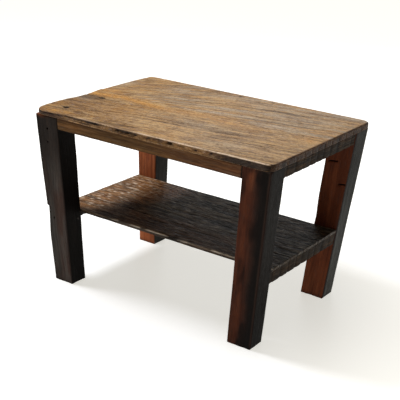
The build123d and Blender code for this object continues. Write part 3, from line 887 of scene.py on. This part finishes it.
def post(seed, arris, extra=((), (), ())):
    """An upright block with the wear that all four posts share."""
    size = (HEAD[0], HEAD[1], POST_HEIGHT)
    timber = Timber(size, (2.1, 2.1, 7.0), 5.0, extra)
    a, b, z = timber.at.T
    radius = np.clip(arris(a, b, z), 0.8, 12.0)
    timber.round_arrises(np.where(z < 12.0, np.minimum(radius, 1.5 + 0.3 * z), radius))
    a, b, z = timber.place.T
    square = np.abs(timber.out[:, 0]) > np.abs(timber.out[:, 1])
    across = np.where(square, b, a + 200.0)
    sway = 7.0 * noise(z / 210.0, across / 60.0, seed + 2)
    weathering(timber, z, across + sway, seed, 0.9 * (1 - timber.facing(2, 1)), 2.8, 10.0, 130.0)
    timber.push(0.2 + 0.6 * rough(z / 80.0, across / 30.0, seed + 4))
    timber.lay_grain(z, across + sway, seed * POST_GRAIN_STEP)
    timber.mark("dark", 0.55 * ramp(z, 14, 0))
    return timber


def near_arris(value, z, seed):
    """The uneven radius of a post's arrises, at a height."""
    return 1.8 + (4.2 - 1.8) * (0.5 + 0.5 * noise(z / 60.0, value, seed))


def make_front_left(material):
    """Dark and grey, its inner side painted in shade, notched on its outer side, with three old nail
    holes.
    """
    def arris(a, b, z):
        return near_arris(0.0, z, 5) + 3.0 * ramp(z, 440, 490)
    nails = ((40.0, 458.0), (36.0, 420.0), (25.0, 195.0))
    lines_a = [a + d for a, _ in nails for d in (-3, -1.8, -0.6, 0.6, 1.8, 3)]
    lines_z = [z + d for _, z in nails for d in (-3.2, -1.8, -0.6, 0.6, 1.8, 3.2)]
    lines_z += [226.0, 227.4, 228.4, 229.6]
    timber = post(101, arris, (lines_a, (), lines_z))
    a, b, z = timber.at.T
    front, right = timber.facing(1, -1), timber.facing(0, 1)
    left = timber.facing(0, -1)

    # the notch: a step in at its foot, easing out upwards, and a swelling below it
    step = ramp(z, 229.2, 227.2) * ramp(z, 128.0, 226.0) ** 0.8
    timber.place[:, 0] += 9.0 * step * ramp(a, 30, 4)
    timber.place[:, 0] -= (2.2 + 2.2 * ramp(z, 228, 0)) * ramp(z, 230, 226) * ramp(a, 30, 4)
    for across, height in nails:
        away = np.hypot(a - across, z - height)
        nail = ramp(away, 3.4, 2.2) * front
        timber.push(6.0 * nail)
        timber.mark("dark", np.maximum(nail, 0.6 * ramp(away, 8.0, 2.5) * front))
    shade = 0.25 + 0.42 * ramp(z, 300, 440) - 0.16 * ramp(a, 24, 44) + 0.2 * ramp(a, 16, 4)
    timber.mark("dark", front * np.clip(shade, 0, 1))
    timber.mark("dark", front * 0.7 * ramp(a, 70, 76))
    timber.mark("grey", front * 0.3 * ramp(z, 420, 300) * ramp(noise(z / 60, a / 14, 7), -0.4, 0.6))
    timber.mark("red", front * 0.15 * ramp(z, 360, 240) * ramp(a, 10, 50))
    # painted shade: the inner side, turned away from the light, is made nearly black
    timber.mark("dark", right * (0.97 - 0.1 * spot(b, z, (34, 150), (18, 40), 3)))
    head = ramp(z, 484, 492) * spot(a, b, (8, 10), (22, 24), 12)
    timber.mark("red", head)
    timber.mark("warm", 0.3 * head)
    timber.mark("grey", left * 0.4)
    lean(timber, -1, -1)
    timber.piece("leg_front_left", material, "leg_timber")


def make_front_right(material):
    """Red heartwood on the left of its front, dark to the right, with a broad rubbed arris."""
    def arris(a, b, z):
        arris_band = ramp(a, 60, 74) * ramp(b, 14, 2)
        return near_arris(1.0, z, 6) + 6.0 * arris_band
    timber = post(201, arris)
    a, b, z = timber.at.T
    front, right = timber.facing(1, -1), timber.facing(0, 1)
    edge = 42.0 + 11.0 * rough(z / 80.0, 0, 8)
    heart = front * ramp(a, edge + 32, edge - 22)
    smoke = ramp(rough(z / 55.0, a / 22.0, 9), -0.2, 0.6)
    timber.mark("red", heart)
    flames = ((474, 28, 26, 0.42), (285, 27, 60, 0.06), (120, 24, 44, 0.04))
    for height, across, tall, strong in flames:
        flame = spot(a, z, (across, height), (12, tall), height, 0.8)
        timber.mark("warm", heart * strong * flame)
    shade = 0.42 + 0.36 * smoke + 0.1 * ramp(z, 300, 60) + 0.46 * ramp(a, edge - 20, edge + 26)
    timber.mark("dark", front * np.clip(shade, 0, 0.92))
    timber.mark("dark", front * 0.5 * ramp(a, 8, 1) * ramp(z, 330, 420))
    timber.mark("red", right * 0.35 * ramp(b, 16, 6))
    timber.mark("dark", right * 0.72 * ramp(b, 14, 4))
    timber.mark("grey", right * 0.4 * ramp(b, 8, 20) * ramp(z, 160, 330))
    timber.mark("dark", right * (0.84 + 0.13 * ramp(z, 260, 60)))
    timber.mark("dark", timber.facing(0, -1) * 0.5)
    lean(timber, 1, -1)
    timber.piece("leg_front_right", material, "leg_timber")


def make_back_left(material):
    """Orange-red towards the front and blue-black on its inner side."""
    timber = post(301, lambda a, b, z: near_arris(2.0, z, 7))
    a, _, z = timber.at.T
    front, right = timber.facing(1, -1), timber.facing(0, 1)
    timber.mark("red", front)
    timber.mark("warm", front * (0.36 + 0.22 * ramp(noise(z / 60.0, a / 15.0, 17), -0.6, 0.4)))
    timber.mark("dark", front * 0.4 * ramp(a, 64, 76))
    timber.mark("dark", right * 0.5)
    timber.mark("grey", right * 0.5)
    lean(timber, -1, 1)
    timber.piece("leg_back_left", material, "leg_timber")


def make_back_right(material):
    """Dark red towards the front with two slits, and weathered grey on the outer side."""
    slits = ((25.0, 405.0, 17.0), (64.0, 345.0, 14.0))
    lines_z = [z + d for _, z, _ in slits for d in (-3.0, -1.8, -0.8, 0.8, 1.8, 3.0)]
    timber = post(401, lambda a, b, z: near_arris(3.0, z, 8), ((), (), lines_z))
    a, b, z = timber.at.T
    front, right = timber.facing(1, -1), timber.facing(0, 1)
    timber.mark("red", front)
    timber.mark("warm", front * 0.08 * ramp(z, 200, 60))
    timber.mark("warm", front * 0.14 * ramp(noise(z / 70.0, a / 20.0, 18), -0.3, 0.6))
    timber.mark("dark", front * 0.3 * ramp(z, 120, 260))
    for across, height, half in slits:
        slant = height + 0.10 * (a - across)
        slit = ramp(np.abs(z - slant), 2.6, 1.2) * ramp(np.abs(a - across), half, half - 5) * front
        timber.push(4.5 * slit)
        timber.mark("dark", slit)
    shade = np.maximum(0.15 + 0.45 * ramp(z, 60, 420), 0.8 * ramp(b, 13, 5))
    timber.mark("dark", right * shade)
    timber.mark("grey", right * ramp(b, 6, 16) * (0.85 + 0.15 * noise(z / 70.0, b / 14.0, 19)))
    waney = ramp(a, 8, 0) * spot(a, z, (0, 240), (30, 34), 9)
    timber.place[:, 0] += 3.0 * waney
    lean(timber, 1, 1)
    timber.piece("leg_back_right", material, "leg_timber")


# ---- the rails
RAIL_SETBACK = 1.0
RAIL_THICK = 24.0
SHELF_RAIL_THICK = 26.0
RAIL_GRAIN_STEP = 17.0
RAIL_START = 68.0  # from the front of the table to the near end of an end rail


def inner_along(z):
    """Where the facing sides of the left and right posts are, at a height."""
    wide_left, _ = post_size(-1, z)
    wide_right, _ = post_size(1, z)
    out_x, _ = outer(z)
    return FRAME_MIDDLE[0] - out_x + wide_left, FRAME_MIDDLE[0] + out_x - wide_right


def inner_across(z):
    """The same for the front and back posts."""
    _, deep = post_size(1, z)
    _, out_y = outer(z)
    return FRAME_MIDDLE[1] - out_y + deep, FRAME_MIDDLE[1] + out_y - deep


def rail(node, axis, side, seed, thick, paint, material):
    """One rail: axis 0 runs along the table, axis 1 across it; side says which one of the pair."""
    low, high = frame_box(node)
    height = high[2] - low[2]
    limits = inner_along if axis == 0 else inner_across
    near, far = limits(high[2] - height / 2)
    size = [thick, thick, height]
    size[axis] = far - near
    steps = [2.2, 2.2, 2.0]
    steps[axis] = 5.0
    timber = Timber(size, steps, 1.6)
    along, other = timber.at[:, axis], timber.at[:, 1 - axis]
    flat = np.abs(timber.out[:, 2]) > 0.7
    across = np.where(flat, other + 90.0, timber.at[:, 2])
    arch = 3.0 * noise(along / 160.0, 0, seed + 6)
    weathering(timber, along, across + arch, seed, 0.5, 2.6, 9.0, 100.0)
    timber.push(0.35 + 0.35 * rough(along / 60.0, across / 12.0, seed + 4))
    timber.lay_grain(along, across + arch, seed * RAIL_GRAIN_STEP)
    paint(timber, along, timber.at[:, 2])
    z = low[2] + timber.place[:, 2]
    timber.place[:, 2] = z
    near, far = limits(z)  # it reaches between the sloping faces of the two posts
    timber.place[:, axis] = near + timber.place[:, axis] / timber.size[axis] * (far - near)
    face = outer(z)[1 - axis] - RAIL_SETBACK
    shift = FRAME_MIDDLE[1 - axis] + (face - thick if side > 0 else -face)
    timber.place[:, 1 - axis] += shift
    timber.piece(node, material, "rail_timber")


def paint_front_rail(timber, along, height):
    timber.mark("red", 0.75 * ramp(along, 250, 540))
    timber.mark("warm", 0.3 * spot(along, height, (60, 20), (60, 14), 5))
    # painted shadow in the gap where the rail meets the post at its right end
    timber.mark("dark", 0.92 * ramp(timber.size[0] - along, 5.5, 1.5))
    timber.mark("dark", 0.4 * ramp(height, 5, 0))


def paint_grey_rail(timber, along, height):
    """Weathered dark grey, with splits in line with those in the top's ends."""
    timber.mark("grey", 0.9)
    splits = end_splits(along + RAIL_START, 91)
    fine = ramp(noise(along / 5.0, height / 60.0, 92), 0.35, 0.9)
    timber.push(1.6 * splits + 0.4 * fine)
    shade = 0.48 + 0.36 * noise((along + RAIL_START) / 20.0, 0, 90)
    timber.mark("dark", np.maximum(shade, splits))
    timber.mark("dark", 0.8 * ramp(height, 5, 0))
    timber.mark("dark", 0.7 * ramp(np.minimum(along, timber.size[1] - along), 4, 0))


def make_rails(material):
    for node, axis, side, seed, thick, paint in (
        ("front_rail", 0, -1, 501, RAIL_THICK, paint_front_rail),
        ("back_rail", 0, 1, 511, RAIL_THICK, paint_front_rail),
        ("left_end_rail", 1, -1, 521, RAIL_THICK, paint_grey_rail),
        ("right_end_rail", 1, 1, 531, RAIL_THICK, paint_grey_rail),
        ("shelf_rail_left", 1, -1, 541, SHELF_RAIL_THICK, paint_grey_rail),
        ("shelf_rail_right", 1, 1, 551, SHELF_RAIL_THICK, paint_grey_rail),
    ):
        rail(node, axis, side, seed, thick, paint, material)


# ---- the lower shelf
SHELF_LOW = frame_box("shelf_board_front", "shelf_board_back")[0]


def shelf_board(node, seed, material):
    """One board of the shelf; its grain and colours carry on from the other board's."""
    low, high = frame_box(node)
    size = high - low
    size[1] -= SEAM_GAP
    timber = Timber(tuple(size), (5.0, 2.0, 2.0), 1.8)
    u, v, w = timber.place.T
    from_front = v + low[1] - SHELF_LOW[1]
    upper = timber.facing(2, 1)
    grain = from_front + 6.0 * noise(u / 150.0, from_front / 60.0, 81)
    timber.lay_grain(u, grain + 300.0, w)
    weathering(timber, u, grain, seed, 2.2 * (0.3 + 0.7 * upper), 7.0, 19.0, 55.0)
    timber.push(upper * (0.5 + 0.5 * rough(u / 120.0, from_front / 50.0, seed + 9)))
    edge = timber.facing(1, -1)
    timber.push(edge * (0.7 + 0.7 * rough(u / 35.0, w / 4.0, seed + 11)))

    # a painted pool of warm light, on a glossier finish, at the left end, with painted glints;
    # grey-black beyond, brown again along the front
    edge_of_light = u - 0.5 * from_front + 24.0 * rough(from_front / 30.0, u / 70.0, 82)
    left = ramp(edge_of_light, 122, 12)
    timber.mark("warm", upper * left * 0.84)
    timber.mark("gloss", upper * left)
    # painted glints, mostly in the pool of light
    glints = ramp(noise(u / 12.0, grain / 2.8, 83), 0.25, 0.8)
    timber.mark("light", upper * (0.06 + 0.94 * left) * 0.6 * glints)
    wander = 16.0 * noise(u / 60.0, 0, 86)
    brown = ramp(from_front + wander, 150, 85) * ramp(u, 660, 520)
    timber.mark("red", upper * 0.9 * brown)
    timber.mark("red", upper * 0.3 * ramp(rough(u / 90.0, from_front / 14.0, 85), -0.1, 0.5))
    timber.mark("red", edge * 0.75)
    # painted highlight: pale dashes along the front arris
    arris_band = np.exp(-(((from_front - 2.0) / 2.8) ** 2)) * ramp(w, 6.0, 9.0)
    highlight_dashes = ramp(noise(u / 24.0, 0, 84), -0.2, 0.4)
    timber.mark("light", arris_band * (0.14 + 0.86 * highlight_dashes) * ramp(u, 140, 220))
    timber.mark("gloss", edge * 0.6)
    for sign in (-1, 1):
        end = timber.facing(0, sign)
        timber.mark("red", end * 0.7)
        timber.mark("dark", end * 0.3)

    # its ends slope with the outer faces of the posts
    timber.place += low
    end_x, _ = outer(timber.place[:, 2])
    widest, _ = outer(high[2])
    share = (timber.place[:, 0] - FRAME_MIDDLE[0]) / widest
    timber.place[:, 0] = FRAME_MIDDLE[0] + share * end_x
    timber.piece(node, material, "shelf_timber")


# ---- pegs, tongues and screws
def speckled_material(name, scale, band, one, other):
    """Fine speckles fixed to the piece; gives the material, its nodes and the speckles' noise."""
    material = bpy.data.materials.new(name)
    nodes = Nodes(material)
    coords = nodes.new("TexCoord")
    texture = nodes.new("TexNoise")
    texture.inputs["Scale"].default_value = scale
    nodes.link(coords.outputs["Object"], texture.inputs["Vector"])
    speckle = texture.outputs["Fac"]
    colour = nodes.mix(nodes.range(speckle, *band), one, other)
    nodes.link(colour, nodes.shader.inputs["Base Color"])
    return material, nodes, speckle


def peg_material():
    colours = linear(30, 23, 18), linear(50, 38, 28)
    material, nodes, speckle = speckled_material("peg_wood", 240.0, (0.35, 0.65), *colours)
    nodes.set("Roughness", 0.7)
    nodes.bump(speckle, 0.3, 0.0005)
    return material


def screw_material():
    colours = linear(176, 168, 150), linear(120, 104, 84)
    material, nodes, speckle = speckled_material("zinc_screw", 900.0, (0.4, 0.7), *colours)
    dull = nodes.range(speckle, 0.3, 0.7, 0.3, 0.55)
    nodes.link(dull, nodes.shader.inputs["Roughness"])
    nodes.set("Metallic", 1.0)
    return material


def dress(names, material):
    """Gives the CAD nodes that keep their own shape a better material."""
    for name in names:
        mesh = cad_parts[name].data
        mesh.materials.clear()
        mesh.materials.append(material)


# ---- making it all
make_camera()
make_studio()
# kind, contrast, roughness from and to, specular level, relief, run, wide
top_wood = timber_material("top", 2.5, (0.42, 0.68), 0.18, 0.9, 0.55, 1.4)
post_wood = timber_material("post", 0.5, (0.4, 0.6), 0.03, 0.25, 1.0)
rail_wood = timber_material("rail", 1.0, (0.5, 0.75), 0.05, 0.45, 2.0)
shelf_wood = timber_material("shelf", 3.0, (0.32, 0.62), 0.1, 1.6, 1.9, 2.6)
make_top_front(top_wood)
make_top_back(top_wood)
make_front_left(post_wood)
make_front_right(post_wood)
make_back_left(post_wood)
make_back_right(post_wood)
make_rails(rail_wood)
shelf_board("shelf_board_front", 601, shelf_wood)
shelf_board("shelf_board_back", 611, shelf_wood)
wooden = ("long_rail_pegs", "end_rail_pegs", "shelf_rail_pegs", "top_tongue", "shelf_tongue")
dress(wooden, peg_material())
dress(("top_screws", "shelf_screws"), screw_material())
